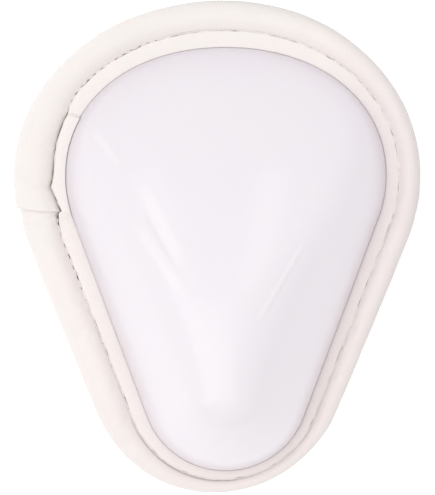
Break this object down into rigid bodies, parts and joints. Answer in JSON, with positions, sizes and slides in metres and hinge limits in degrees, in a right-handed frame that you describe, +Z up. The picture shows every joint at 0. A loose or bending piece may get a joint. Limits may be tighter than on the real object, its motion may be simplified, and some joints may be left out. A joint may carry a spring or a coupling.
{
  "type": "abdominal guard",
  "caption": "Pear-shaped moulded protective cup, hollow to the back, with a padded covered rim round its flange.",
  "frame": {"origin": "middle of the bounding box's base, on the surface that the guard rests on", "axes": "+Z up out of the dome, +Y towards the wide waist edge, -Y towards the narrow tail, +X to the right seen from the front"},
  "size_m": [0.1355, 0.1649, 0.0545],
  "materials": {
    "cup": "glossy milky white",
    "covering": "soft off-white imitation leather"
  },
  "bodies": {
    "root": {"cup_shell": "cup", "rim_roll": "covering", "front_lip": "covering", "back_lip": "covering"}
  },
  "joints": []
}
